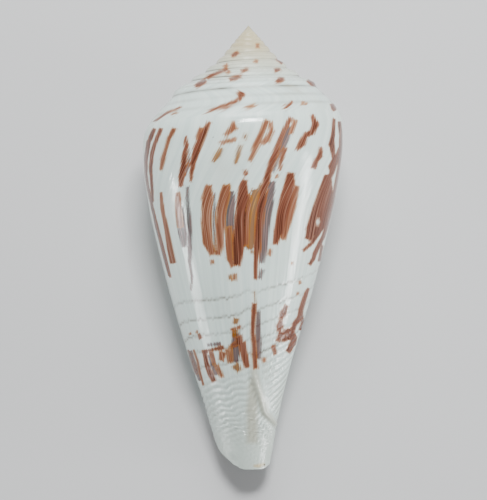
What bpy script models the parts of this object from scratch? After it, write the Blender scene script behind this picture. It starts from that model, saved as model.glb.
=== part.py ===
"""Empty shell of a large cone snail, lying on its aperture with its back up.

The shell is one coiled tube that grew as one piece, so it is one solid. Lengths below are in
millimetres and angles in degrees. The shell's own axis runs along Y with the apex at +Y, and
a growth angle turns about it from the top of the back (0) over the left contour (90) to the
underside (180). One turn further back along the coil the angle is 360 less and the whorl
smaller by WHORL_GROWTH. Depth is measured from the apex along the axis.
"""

import math

import bpy
import numpy as np
from mathutils import Euler

MM = 0.001

SHELL_LENGTH = 120.0
WHORL_GROWTH = 1.327
SHOULDER_RADIUS = 27.9
SHOULDER_ANGLE = 90.0
LIP_ANGLE = 131.5
FIRST_RADIUS = 1.3

# Spire outline through the sutures: radius of the suture, depth below the apex
SPIRE_OUTLINE = (
    (0.0, 0.0),
    (3.4, 4.1),
    (6.0, 7.4),
    (9.0, 10.6),
    (13.7, 14.1),
    (18.7, 17.3),
    (24.4, 23.5),
    (31.0, 31.2),
)

# Outline of the last whorl below its shoulder: depth, radius. Past the shell's own length the
# line is the columella, which the smaller whorls further back along the coil show
SIDE_OUTLINE = (
    (24.0, 25.3),
    (28.0, 28.0),
    (36.0, 28.95),
    (48.0, 27.65),
    (66.0, 23.7),
    (86.0, 18.2),
    (106.0, 11.9),
    (118.0, 8.8),
    (137.0, 5.4),
    (165.0, 3.3),
    (230.0, 2.8),
)

# Slopes of the ramp between suture and shoulder, as depth over radius, on the young and on
# the last whorls
RAMP_SLOPE_TOP = (0.45, 1.0)
RAMP_SLOPE_FOOT = (4.5, 1.5)

# Outline of the lip's edge, as degrees that it stays behind LIP_ANGLE: the notch on the ramp,
# and the long slope to the notch of the siphonal canal at the anterior end
NOTCH_AT_SUTURE = 27.0
NOTCH_DEPTH = 13.0
NOTCH_FOOT = 0.30
CANAL_START = 0.80
CANAL_SWEEP = 85.0

LIP_EDGE_WALL = 1.2
INNER_WALL = 2.4
WALL_GROWS_OVER = 60.0
CANAL_SHARE = 0.42
CAVITY_ANGLE = 270.0

STEPS_PER_TURN = 40
RAMP_ROWS = 4
SIDE_ROWS = 22
CEILING_ROWS = 1
CEILING_START = 0.34

# The resting attitude: the axis rises toward the spire until both the lip's edge and the
# underside of the last whorl touch. Both are worn flat by this much where they touch
AXIS_RISE = 11.31
WORN_FLAT = 0.3

SHELL_COLOUR = (0.74, 0.66, 0.60, 1.0)
SHELL_ROUGHNESS = 0.28


def smooth_line(points, x):
    """Cubic line through a few points, with each slope taken from the point's neighbours."""
    knots, values = np.array(points).T
    slopes = np.gradient(values, knots)
    x = np.asarray(x, dtype=float)
    left = np.clip(np.searchsorted(knots, x) - 1, 0, len(knots) - 2)
    span = knots[left + 1] - knots[left]
    t = np.clip((x - knots[left]) / span, 0.0, 1.0)
    from_left = (2 * t**3 - 3 * t**2 + 1) * values[left] + (t**3 - 2 * t**2 + t) * span * slopes[left]
    from_right = (3 * t**2 - 2 * t**3) * values[left + 1] + (t**3 - t**2) * span * slopes[left + 1]
    return from_left + from_right


def ease(t):
    """0 to 1 with flat ends."""
    t = np.clip(t, 0.0, 1.0)
    return t * t * (3.0 - 2.0 * t)


def growth(angle):
    """Size of the whorl at a growth angle, 1 at the shoulder's reference angle."""
    return WHORL_GROWTH ** ((angle - SHOULDER_ANGLE) / 360.0)


def suture(angle):
    """Radius and depth of the line along which the whorl one turn later is attached."""
    radius = SHOULDER_RADIUS * growth(angle)
    return radius, smooth_line(SPIRE_OUTLINE, radius)


def ramp(angle, share):
    """Radius and depth on the ramp, from the suture above (share 0) to the shoulder (share 1):
    a Bezier line between the two sutures that leaves and meets them at the two ramp slopes."""
    top_radius, top_depth = suture(angle - 360.0)
    foot_radius, foot_depth = suture(angle)
    length = np.hypot(foot_radius - top_radius, foot_depth - top_depth)
    age = ease((angle + 300.0) / 240.0)
    top_slope = RAMP_SLOPE_TOP[0] + (RAMP_SLOPE_TOP[1] - RAMP_SLOPE_TOP[0]) * age
    foot_slope = RAMP_SLOPE_FOOT[0] + (RAMP_SLOPE_FOOT[1] - RAMP_SLOPE_FOOT[0]) * age
    top_reach = length * (0.42 - 0.07 * age) / np.hypot(1.0, top_slope)
    foot_reach = length * (0.38 - 0.08 * age) / np.hypot(1.0, foot_slope)
    weights = ((1 - share) ** 3, 3 * share * (1 - share) ** 2, 3 * share**2 * (1 - share), share**3)
    radii = (top_radius, top_radius + top_reach, foot_radius - foot_reach, foot_radius)
    depths = (top_depth, top_depth + top_reach * top_slope, foot_depth - foot_reach * foot_slope, foot_depth)
    return sum(w * r for w, r in zip(weights, radii)), sum(w * d for w, d in zip(weights, depths))


def side(angle, share):
    """Radius and depth on the whorl's side, from the shoulder (share 0) to the anterior end
    (share 1): the side outline scaled to the whorl, eased onto the shoulder's own radius."""
    size = growth(angle)
    shoulder_radius, shoulder_depth = suture(angle)
    depth = shoulder_depth + share * (SHELL_LENGTH - shoulder_depth)
    outline = size * smooth_line(SIDE_OUTLINE, depth / size)
    miss = shoulder_radius - size * smooth_line(SIDE_OUTLINE, shoulder_depth / size)
    return outline + miss * np.exp((shoulder_depth - depth) / (4.0 * size)), depth


def lip_lag_on_ramp(share):
    return -NOTCH_AT_SUTURE - NOTCH_DEPTH * np.sin(math.pi * share)


def lip_lag_on_side(share):
    notch = -NOTCH_AT_SUTURE * (1.0 - ease(share / NOTCH_FOOT))
    canal = -CANAL_SWEEP * np.clip((share - CANAL_START) / (1.0 - CANAL_START), 0.0, 1.0) ** 1.6
    return notch + canal


def place(angle, radius, depth):
    """Points of the shell's own frame, in millimetres."""
    turn = np.radians(angle)
    return np.stack([-radius * np.sin(turn), -depth, radius * np.cos(turn)], axis=-1)


def build_shell():
    """Vertices and faces of the whole shell.

    Columns are growth steps along the coil and rows run from the suture over the ramp and
    down the side. The last ramp row of a column is the first row of the column one turn
    later, so neighbouring whorls share the vertices of their suture. The cavity runs from the
    lip back into the coil: its outer wall follows the last whorl from inside, and its inner
    wall is the side of the whorl before, whose columns go on past the lip's own line.
    """
    turn_steps = STEPS_PER_TURN
    last_ramp_row = RAMP_ROWS
    last_row = RAMP_ROWS + SIDE_ROWS
    first_angle = SHOULDER_ANGLE + 360.0 * (1.0 + math.log(FIRST_RADIUS / SHOULDER_RADIUS, WHORL_GROWTH))
    lip_step = round((LIP_ANGLE - first_angle) / 360.0 * turn_steps)
    mouth_step = lip_step - turn_steps
    cavity_steps = round(CAVITY_ANGLE / 360.0 * turn_steps)
    step_angles = LIP_ANGLE + (np.arange(lip_step + 1) - lip_step) * 360.0 / turn_steps
    ramp_share = np.arange(last_ramp_row + 1) / RAMP_ROWS
    side_share = (np.arange(1, SIDE_ROWS + 1) / SIDE_ROWS) ** 1.15

    points = []

    def add(new_points):
        first = sum(len(group) for group in points)
        points.append(new_points.reshape(-1, 3))
        return first + np.arange(len(points[-1])).reshape(new_points.shape[:-1])

    # Outer surface: the ramp rows of every column
    angles = step_angles[:, None] + lip_lag_on_ramp(ramp_share)
    grid = np.zeros((lip_step + 1, last_row + 1), dtype=int)
    grid[:, : last_ramp_row + 1] = add(place(angles, *ramp(angles, ramp_share)))
    grid[turn_steps:, 0] = grid[:-turn_steps, last_ramp_row]

    # Outer surface: the side rows of the last turn, and of the columns that the cavity shows
    first_side = mouth_step - cavity_steps
    angles = step_angles[first_side:, None] + lip_lag_on_side(side_share)
    grid[first_side:, last_ramp_row + 1 :] = add(place(angles, *side(angles, side_share)))

    # Cavity: its outer wall, one column for each step back from the lip
    back = np.arange(cavity_steps + 1)
    wall = LIP_EDGE_WALL + (INNER_WALL - LIP_EDGE_WALL) * ease(back * 360.0 / turn_steps / WALL_GROWS_OVER)
    ceiling_rows = np.arange(CEILING_ROWS + 1, last_ramp_row + 1)
    along_ceiling = (ceiling_rows - CEILING_ROWS) / (last_ramp_row - CEILING_ROWS)
    share = CEILING_START + (1.0 - CEILING_START) * along_ceiling
    angles = step_angles[lip_step - back][:, None] + lip_lag_on_ramp(share)
    radius, depth = ramp(angles, share)
    radius_ahead, depth_ahead = ramp(angles, share + 0.01)
    stretch = np.hypot(radius_ahead - radius, depth_ahead - depth)
    ceiling_radius = radius - wall[:, None] * (depth_ahead - depth) / stretch
    ceiling_depth = depth + wall[:, None] * (radius_ahead - radius) / stretch
    inner = np.zeros((cavity_steps + 1, last_row + 1), dtype=int)
    inner[:, ceiling_rows] = add(place(angles, ceiling_radius, ceiling_depth))
    inner[:, CEILING_ROWS] = grid[mouth_step - back, last_ramp_row + CEILING_ROWS]

    angles = step_angles[lip_step - back][:, None] + lip_lag_on_side(side_share)
    radius, depth = side(angles, side_share)
    size_before = growth(angles - 360.0)
    radius_before = size_before * smooth_line(SIDE_OUTLINE, depth / size_before)
    side_wall = np.minimum(wall[:, None], CANAL_SHARE * (radius - radius_before))
    inner[:, last_ramp_row + 1 :] = add(place(angles, radius - side_wall, depth))

    apex = add(np.array([[0.0, 0.0, 0.0]]))[0]
    tip = add(np.array([[0.0, -SHELL_LENGTH + 0.6, 0.0]]))[0]

    faces = []

    def join(line, next_line):
        """A strip of faces between two rows of vertices, which may share some."""
        for a, b, c, d in zip(line[:-1], line[1:], next_line[1:], next_line[:-1]):
            corners = list(dict.fromkeys((int(d), int(c), int(b), int(a))))
            if len(corners) > 2:
                faces.append(corners)

    for step in range(lip_step):
        rows = last_row if step >= mouth_step else last_ramp_row
        join(grid[step, : rows + 1], grid[step + 1, : rows + 1])
    for step in range(cavity_steps):
        join(inner[step, CEILING_ROWS:], inner[step + 1, CEILING_ROWS:])
        parietal = grid[mouth_step - step, last_ramp_row + CEILING_ROWS :]
        parietal_behind = grid[mouth_step - step - 1, last_ramp_row + CEILING_ROWS :]
        join(parietal_behind, parietal)

    # The lip's edge, the cavity's far end and the end face of the canal's wall
    suture_part = grid[mouth_step, last_ramp_row : last_ramp_row + CEILING_ROWS]
    join(grid[lip_step], np.concatenate([suture_part, inner[0, CEILING_ROWS:]]))
    far_parietal = grid[first_side, last_ramp_row + CEILING_ROWS :]
    shared = np.full(last_ramp_row, far_parietal[0])
    join(inner[cavity_steps, CEILING_ROWS:], np.concatenate([shared, far_parietal]))
    join(grid[lip_step - back, last_row], inner[:, last_row])

    # The two ends of the coil: a fan of faces round the apex and one round the columella's tip
    apex_loop = np.concatenate([grid[: turn_steps + 1, 0], grid[0, last_ramp_row - 1 :: -1]])
    tip_loop = np.concatenate(
        [
            grid[first_side : lip_step - cavity_steps + 1, last_row],
            inner[cavity_steps:, last_row],
            [grid[first_side, last_row]],
        ]
    )
    join(apex_loop, np.full(len(apex_loop), apex))
    join(np.full(len(tip_loop), tip), tip_loop)

    # Rows that no face uses lie buried in the walls, so they are left out
    every_point = np.concatenate(points)
    used = sorted({corner for face in faces for corner in face})
    new_number = {old: new for new, old in enumerate(used)}
    faces = [[new_number[corner] for corner in face] for face in faces]
    return every_point[used] * MM, faces


def shell_material():
    material = bpy.data.materials.new("Porcelain-like shell")
    material.use_nodes = True
    bsdf = material.node_tree.nodes["Principled BSDF"]
    bsdf.inputs["Base Color"].default_value = SHELL_COLOUR
    bsdf.inputs["Roughness"].default_value = SHELL_ROUGHNESS
    bsdf.inputs["Metallic"].default_value = 0.0
    material.diffuse_color = SHELL_COLOUR
    return material


def main():
    for obj in list(bpy.data.objects):
        bpy.data.objects.remove(obj)

    vertices, faces = build_shell()
    rotation = Euler((math.radians(AXIS_RISE), 0.0, 0.0))
    turn = np.array(rotation.to_matrix())
    lying = vertices @ turn.T
    ground = lying[:, 2].min() + WORN_FLAT * MM
    lying[:, 2] = np.maximum(lying[:, 2], ground)

    mesh = bpy.data.meshes.new("shell")
    mesh.from_pydata((lying @ turn).tolist(), [], faces)
    mesh.update()
    mesh.shade_smooth()
    mesh.set_sharp_from_angle(angle=math.radians(40.0))
    mesh.materials.append(shell_material())

    # The shell lies on the ground with its box centred over the origin
    shell = bpy.data.objects.new("shell", mesh)
    bpy.context.scene.collection.objects.link(shell)
    middle = (lying.min(axis=0) + lying.max(axis=0)) / 2.0
    shell.rotation_euler = rotation
    shell.location = (-middle[0], -middle[1], -ground)


main()
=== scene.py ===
"""Empty cone snail shell on a pale floor, patterned back up, seen from straight above its back.

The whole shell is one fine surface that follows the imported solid, with the growth lines, the
spiral grooves and the colour pattern of the real one. Lengths in the shape's functions are
millimetres and angles degrees, in the shell's own frame: its axis runs along Y with the apex
at +Y, a growth angle turns about it from the top of the back (0) over the left contour (90)
to the underside (180), and depth is measured from the apex along the axis.
"""

import math

import bpy
import numpy as np
from mathutils import Matrix, Vector


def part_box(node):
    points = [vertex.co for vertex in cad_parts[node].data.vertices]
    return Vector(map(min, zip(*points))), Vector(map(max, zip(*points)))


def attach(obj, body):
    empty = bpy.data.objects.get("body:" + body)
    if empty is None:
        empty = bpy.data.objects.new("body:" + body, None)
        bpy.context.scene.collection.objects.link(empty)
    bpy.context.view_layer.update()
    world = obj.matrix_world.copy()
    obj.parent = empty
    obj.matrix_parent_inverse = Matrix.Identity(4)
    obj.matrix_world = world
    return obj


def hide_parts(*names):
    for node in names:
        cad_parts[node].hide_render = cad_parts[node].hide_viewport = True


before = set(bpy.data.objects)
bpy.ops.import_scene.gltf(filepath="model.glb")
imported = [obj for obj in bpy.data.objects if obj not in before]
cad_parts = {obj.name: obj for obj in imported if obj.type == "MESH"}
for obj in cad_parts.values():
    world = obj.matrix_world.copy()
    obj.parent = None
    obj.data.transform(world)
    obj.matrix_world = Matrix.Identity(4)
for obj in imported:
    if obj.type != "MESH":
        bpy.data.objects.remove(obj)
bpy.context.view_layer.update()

MM = 0.001

# The shell's form, as in the solid
SHELL_LENGTH = 120.0
WHORL_GROWTH = 1.327
SHOULDER_RADIUS = 27.9
SHOULDER_ANGLE = 90.0
LIP_ANGLE = 131.5
FIRST_RADIUS = 1.3

# Spire outline through the sutures: radius of the suture, depth below the apex
SPIRE_OUTLINE = (
    (0.0, 0.0),
    (3.4, 4.1),
    (6.0, 7.4),
    (9.0, 10.6),
    (13.7, 14.1),
    (18.7, 17.3),
    (24.4, 23.5),
    (31.0, 31.2),
)

# Outline of the last whorl below its shoulder: depth, radius
SIDE_OUTLINE = (
    (24.0, 25.3),
    (28.0, 28.0),
    (36.0, 28.95),
    (48.0, 27.65),
    (66.0, 23.7),
    (86.0, 18.2),
    (106.0, 11.9),
    (118.0, 8.8),
    (137.0, 5.4),
    (165.0, 3.3),
    (230.0, 2.8),
)

# The ramp's line between two sutures, on the young and on the last whorls: its slope at both
# ends as depth over radius, and how far that slope is held, as a share of the line's length.
# A whorl is young up to the first growth angle and turns into the last form over the second
RAMP_SLOPE_TOP = (0.45, 1.0)
RAMP_SLOPE_FOOT = (4.5, 1.5)
RAMP_REACH_TOP = (0.42, 0.35)
RAMP_REACH_FOOT = (0.38, 0.30)
YOUNG_UP_TO = -300.0
YOUNG_TO_LAST = 240.0

# The depth over which the side eases from its shoulder's radius onto the outline, in mm on a
# whorl of full size
SHOULDER_BLEND = 4.0

# Outline of the lip's edge: degrees by which it stays behind LIP_ANGLE in the notch and at the
# canal's end, the shares of the side where the notch ends and the canal starts, and the power
# of the canal's curve
NOTCH_AT_SUTURE = 27.0
NOTCH_DEPTH = 13.0
NOTCH_FOOT = 0.30
CANAL_START = 0.80
CANAL_SWEEP = 85.0
CANAL_CURVE = 1.6

# The outer wall: its thickness at the lip's edge and inside, and the degrees over which it
# grows. In the canal it takes at most a share of the room between two turns, and its ceiling
# starts at a share of the way down the ramp
LIP_EDGE_WALL = 1.2
INNER_WALL = 2.4
WALL_GROWS_OVER = 60.0
CANAL_SHARE = 0.42
CEILING_START = 0.34

# The resting attitude, on two places that are worn flat by this much
AXIS_RISE = 11.31
WORN_FLAT = 0.3

# The fine surface's grid, with its columns closest round the middle of the back, its rows
# closer toward the anterior end and the cavity's columns closer toward the lip. The last two
# are how far short of the end its middle point lies, and the angle of an edge that looks sharp
STEPS_PER_TURN = 300
CLOSER_BY = 0.4
CLOSEST_AT = -3.0
RAMP_ROWS = 9
SIDE_ROWS = 180
ROWS_CLOSER_BY = 0.25
CEILING_ROWS = 2
CAVITY_ANGLE = 210.0
CAVITY_COLUMNS = 40
CAVITY_CROWDING = 1.6
TIP_INSET = 0.6
SHARP_FROM = 50.0

# The kinds of surface that the colour fields tell apart
ON_RAMP = 0.0
ON_SIDE = 1.0
IN_CAVITY = 2.0

# The corners of the anterior end: how far they are drawn back, from what distance aside of the
# axis on, over what width, and over what length of the end
END_ROUNDING = 1.3
ROUNDED_FROM = 2.2
ROUNDED_WIDTH = 3.4
ROUNDED_LENGTH = 5.0

# The spiral lines, named by their depth at the left contour: how they climb, and how they run
# flatter past a growth angle. They waver above the base, and at the scar they jump: growth
# angle, width and height of each jump
SPIRAL_CLIMB = 1.4
FLATTER_BY = 0.04
FLATTER_PAST = 8.0
FLATTER_OVER = 75.0
WAVER = 0.45
WAVER_ENDS_AT = 100.0
WAVER_FADES_OVER = 8.0
SCAR_JUMPS = ((4.0, 3.0, 1.0), (-6.0, 4.0, -0.5))

# Fine relief in heights and widths. The base's cords start at these spiral lines, end at these
# pixels beside the ridge, and are fainter on the anterior end
SPIRAL_GROOVES = (79.7, 85.0, 89.6, 94.0, 98.4)
GROOVE_DEPTH = 0.12
GROOVE_WIDTH = 0.30
CORD_HEIGHT = 0.14
CORDS_GROW_OVER = 7.0
CORDS_FAINT_AT = 116.0
CORDS_FADE_OVER = 8.0
CORD_LEFT_AT_END = 0.35
NEWER_CORD_SPACING = 1.85
NEWER_CORDS_FROM = 99.0
NEWER_CORDS_END = 4.0
NEWER_CORDS_FADE = 12.0
OLDER_CORD_SPACING = 2.3
OLDER_CORDS_FROM = 91.0
OLDER_CORDS_END = 6.0
OLDER_CORDS_FADE = 6.0
CORD_WAVER = 0.7
CORD_TREMBLE = 0.25
GROWTH_LINE_HEIGHT = 0.03
GROWTH_LINES_END_AT = 104.0
GROWTH_LINES_FADE_OVER = 14.0
RAMP_CORDS = 3
RAMP_CORD_HEIGHT = 0.09
RAMP_GROWTH_LINE_HEIGHT = 0.05

# The relief is full from this radius on the ramp, and from this share of the side
FULL_RAMP_RELIEF_FROM = 12.0
FULL_SIDE_RELIEF_FROM = 0.04

# What makes the relief irregular: waves in one turn, and the seed of their phases
LINE_WAVES = ((31, 47, 73, 97), 3)
CORD_WAVES = ((5, 9, 13), 5)
CORD_TREMBLE_WAVES = ((21, 30), 6)
GROWTH_LINE_WAVES = ((41, 67, 83, 109, 127), 7)
RAMP_GROWTH_LINE_WAVES = ((41, 67, 83, 109), 11)

# The former lip's ridge: its crest and width in pixels of the photograph's view, the depths
# between which it stands, and the hollow on its newer side, a share of its height deep. A point
# on another part of the shell counts as far from it
RIDGE_LINE = ((251.0, 350.0), (253.0, 374.0), (259.6, 395.7), (264.6, 413.0), (275.4, 423.8), (284.0, 431.0))
RIDGE_HEIGHT = 0.32
RIDGE_WIDTH = 2.6
RIDGE_FROM = 90.0
RIDGE_GROWS_OVER = 7.0
RIDGE_UP_TO = 112.0
RIDGE_FADES_OVER = 4.0
HOLLOW_SHARE = 0.5
HOLLOW_BESIDE = -6.0
HOLLOW_WIDTH = 4.0
FAR_FROM_RIDGE = 99.0

# The camera looks square at the shell's axis. At this distance the picture's scale is 3.682
# pixels to the millimetre, in a picture of 487 by 500, where the axis leans by PICTURE_TURN
PICTURE = (487.0, 500.0)
CAMERA_DISTANCE = 600.0
PICTURE_SCALE = 3.682
PICTURE_CENTRE_DEPTH = 61.0
PICTURE_CENTRE_SIDE = -1.95
PICTURE_TURN = 0.58

# The colour marks of the back, as strokes in the photograph's own view: each point is across,
# down and half the stroke's width, in pixels of that view
CHESTNUT_STROKES = (
    # Spire and ramps
    ((237.4, 52.8, 1.1), (235, 54.2, 1.6), (232.6, 55.6, 1.2)),
    ((281.8, 62.4, 1.6), (277.4, 59, 1.4)),
    ((247.2, 69.2, 1.0), (242.6, 71, 1.3)),
    ((279.8, 69.4, 1.2), (276, 70.2, 1.8)),
    ((240.2, 76.4, 1.2), (236, 77.4, 1.9), (230.6, 79.4, 1.2)),
    ((227, 69, 1.0), (216, 73.5, 1.2), (208, 77, 1.6)),
    ((204.8, 80.7, 2.3), (196, 86.2, 2.0)),
    ((283, 78.8, 1.4), (281, 79.5, 2.2), (277, 81.5, 1.8)),
    ((309.5, 80.2, 2.8), (314, 84.8, 2.4)),
    ((238.5, 92.5, 1.6), (242, 94.5, 2.6), (240, 98, 1.7), (236, 101.3, 1.3)),
    ((236, 101.3, 1.3), (223.8, 105.7, 1.0), (206.2, 112.3, 0.8)),
    ((229, 106.4, 0.7), (221.6, 110, 0.7)),
    ((332, 104.5, 2.0), (334.5, 109.5, 2.4)),
    ((181.3, 107, 0.6), (169.6, 111.5, 0.9), (153.5, 121.8, 1.1)),
    ((292, 102.4, 0.8), (289.4, 105, 1.2), (285.4, 107.3, 1.6)),
    # Shoulder band
    ((154.2, 129, 1.8), (148.3, 143, 2.1), (145.8, 159, 2.0), (145.6, 174, 1.7), (148, 189, 1.4)),
    ((148, 189, 1.4), (152.3, 208, 1.4), (158.6, 233, 1.5), (165, 256, 1.3), (170.3, 277, 1.0)),
    ((160.8, 129, 1.5), (155, 143, 1.7), (152, 153.3, 1.8), (150.6, 168, 1.6)),
    ((150.6, 168, 1.6), (151.7, 184, 1.3), (152.7, 202, 1.1)),
    ((185.7, 137.2, 1.0), (186.2, 146, 2.0), (184, 162, 2.8), (181.3, 176.8, 2.6), (180.6, 185.6, 1.8)),
    ((209.2, 122.5, 1.3), (203.2, 134.3, 3.0), (197, 149, 3.4), (192.6, 163.6, 2.2), (190.8, 181.2, 1.0)),
    ((245, 171, 1.5), (245.5, 174, 1.9)),
    ((290.6, 118.9, 1.4), (284, 129.9, 1.5), (279.3, 141.6, 2.1), (274.2, 156.2, 2.7), (269, 170.9, 2.6)),
    ((269, 170.9, 2.6), (264.2, 188.5, 3.2), (261.2, 204, 3.5), (258.8, 226, 3.2), (257.2, 248, 2.9)),
    ((257.3, 248, 2.7), (255.8, 262.6, 1.8), (255.4, 278, 1.4)),
    ((285.4, 149, 1.6), (281.8, 159.2, 1.5), (279.3, 169.4, 1.1)),
    ((312.6, 116, 1.7), (315.5, 124, 3.0), (311.8, 132.8, 2.6), (306, 134.6, 1.8)),
    ((306, 134.6, 1.8), (302.3, 143, 3.1), (297.2, 149.6, 1.0)),
    ((320.8, 148.2, 1.4), (319.9, 156.2, 2.6), (317, 159.6, 1.8)),
    ((315.5, 161.5, 1.9), (314, 167, 2.6)),
    ((334, 118.9, 1.4), (333, 135.7, 1.9), (331.6, 144.5, 3.0), (333, 153.3, 2.0), (334.5, 159.2, 2.0)),
    ((334.5, 159.2, 2.0), (330.6, 166.5, 2.0), (331.8, 173.8, 1.8)),
    ((339.6, 149, 1.6), (335.8, 161, 2.1), (332.6, 171, 2.1), (329.5, 178, 1.8)),
    ((339.4, 122, 1.5), (341, 135.7, 1.8), (340.8, 149, 1.8), (339, 168, 1.6), (335.6, 185.6, 1.5)),
    # Middle band
    ((243.6, 182, 3.0), (242.9, 196.7, 5.0), (240.5, 218.7, 5.6), (239, 242, 6.0), (237, 264, 3.4)),
    ((290.6, 174.5, 3.4), (289.6, 182, 4.6), (286.4, 196, 5.4), (283, 211.3, 5.2)),
    ((283, 211.3, 5.2), (279, 230.4, 4.4), (275.6, 243, 2.2)),
    ((326.8, 176, 2.4), (323.3, 192, 4.6), (318.8, 210, 6.6), (313, 228, 6.2), (308.8, 238, 3.4)),
    ((329.6, 178, 1.6), (330, 195, 3.0), (327.4, 212, 4.0), (322, 226, 3.0)),
    ((322, 226, 3.0), (312, 243, 1.6), (303.5, 250.5, 1.0)),
    ((335.6, 185.6, 1.5), (332.6, 204, 1.4), (328, 221.6, 1.5), (323.5, 236, 1.8), (317.5, 248, 1.9)),
    ((317.5, 248, 1.9), (314.6, 254, 2.2), (313.6, 258, 1.8), (309.6, 264.4, 1.5)),
    ((322, 246, 1.2), (319.3, 261, 1.4)),
    # Lower band
    ((254.5, 304.5, 1.7), (254, 312.4, 1.9), (253, 322, 1.7), (252.6, 333, 1.5), (253.6, 342.7, 1.7)),
    ((253.6, 342.7, 1.7), (254.2, 354.8, 2.1), (255.5, 367.4, 1.8)),
    ((238.6, 337.9, 3.0), (239.5, 342.7, 2.6), (232, 345.4, 1.3)),
    ((242.4, 344, 2.8), (244.2, 354.8, 3.0), (247, 366, 2.2)),
    ((231.5, 329.6, 0.8), (240, 327, 0.8)),
    ((222.7, 347.6, 1.8), (210.6, 350, 1.2), (203.3, 352.4, 1.9)),
    ((205, 354.8, 1.9), (207, 365.8, 2.1), (210.6, 374, 2.6), (213.8, 380.6, 2.0)),
    ((199, 334.6, 1.0), (200.4, 337.8, 1.7)),
    ((308.2, 288.8, 1.2), (304.5, 297.9, 2.0), (300.9, 310, 2.2), (300, 317.3, 2.6), (294.4, 324.5, 2.1)),
    ((294.4, 324.5, 2.1), (292, 333, 2.6), (294.2, 337.9, 2.8), (293, 342.7, 3.0), (288.2, 351.2, 2.4)),
    ((301.5, 316, 1.6), (302.9, 323.3, 1.7), (300.3, 329.4, 1.6)),
    ((286.2, 306.4, 1.8), (283.2, 313.6, 3.0), (281.2, 318, 2.0)),
    ((281, 321.6, 1.8), (280, 326.4, 3.2), (279.4, 330, 2.0)),
    ((281.5, 333, 2.6), (278.5, 340.5, 2.0)),
    ((273.4, 346.6, 1.6), (275.4, 353.4, 1.2)),
    ((287, 330.6, 3.6), (288.4, 336.4, 3.8), (283, 339.6, 2.0)),
    ((187.8, 350, 1.2), (192, 362, 1.6), (196.4, 374, 1.5)),
)
SIENNA_STROKES = (
    ((257.6, 44.6, 1.2), (257.6, 46.8, 1.2)),
    ((255.4, 60.8, 1.2), (257, 61.6, 1.2)),
    ((226.8, 65.4, 1.3), (224.4, 67, 1.1)),
    ((229.6, 71.8, 0.8), (226.8, 73, 0.9)),
    ((254.6, 105.2, 1.1), (245.8, 107.9, 1.2)),
    ((302.4, 103, 1.1), (306.4, 103.6, 1.1)),
    ((177, 111.8, 1.1), (172.5, 115, 1.2)),
    ((174, 129, 2.2), (168.9, 138.7, 1.9), (165.9, 149, 1.7), (163, 159, 2.3), (161, 170, 1.2)),
    ((200.4, 128.4, 1.5), (196.4, 138, 1.5)),
    ((232.8, 122.3, 1.2), (233.2, 127.4, 3.3), (226, 135, 1.0)),
    ((270.2, 250.5, 1.0), (269.4, 254, 1.2)),
    ((193.6, 350, 0.9), (197.3, 361, 1.1), (200, 373, 1.1), (203.3, 385, 1.0)),
    ((267, 121, 2.4), (262, 132.8, 2.2), (256.5, 144.5, 2.7), (250.2, 160.6, 1.4)),
    ((234.8, 139.4, 1.0), (228, 141, 1.5), (221.6, 143.2, 1.1)),
    ((270.8, 124, 1.6), (271.7, 131.3, 1.8), (267, 140, 2.6), (262, 142.3, 2.0)),
    ((295.7, 121, 1.4), (291.3, 132.8, 1.3)),
    ((277, 175.6, 0.9), (276.6, 177, 0.9)),
    ((160.8, 193, 1.2), (162.3, 208.4, 1.6), (166.7, 230.4, 2.1), (169.8, 248, 2.8), (172.8, 262, 3.0)),
    ((177.7, 193.7, 2.0), (178.4, 208.4, 2.8), (179.9, 226, 2.8)),
    ((208.4, 187, 3.3), (207.2, 200, 5.2), (206.6, 222, 5.4), (207.6, 242, 4.6), (212, 253, 2.8)),
    ((226.2, 187, 3.6), (224.6, 195, 4.8), (221.6, 208, 4.4), (220.4, 224, 4.2)),
    ((220.4, 224, 4.2), (218.8, 242, 3.8), (218, 253.4, 3.0)),
    ((229.0, 228, 2.0), (228.6, 245, 3.0), (230.2, 258, 3.2), (233, 265.4, 2.2)),
    ((293.6, 188, 5.0), (291, 205, 4.6), (286.6, 222, 4.2), (283, 238, 2.6)),
    ((248.4, 196, 2.4), (246.8, 220, 2.8), (245.4, 244, 2.8)),
    ((212, 261, 1.4), (212.4, 263, 1.5)),
    ((234.8, 274.6, 1.7), (234.6, 279.4, 1.9)),
    ((299.8, 281.8, 1.0), (300.2, 283, 1.0)),
    ((297.7, 293, 0.8), (297.9, 294, 0.8)),
    ((222.7, 353.6, 3.2), (221.5, 359, 2.6)),
    ((216.7, 365.8, 1.9), (219.6, 372, 2.0), (221.5, 376.7, 1.7)),
    ((230.6, 346, 1.0), (231.6, 361, 1.2)),
    ((227, 350, 1.6), (229.4, 362, 1.8)),
    ((190, 333.2, 1.2), (190.4, 334.4, 1.1)),
    ((196.6, 331.2, 0.9), (197, 333, 0.9)),
    ((264, 359.2, 1.5), (264.2, 361, 1.3)),
    ((210.5, 352.5, 2.2), (213, 358, 1.8), (214, 364, 1.2)),
)
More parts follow.
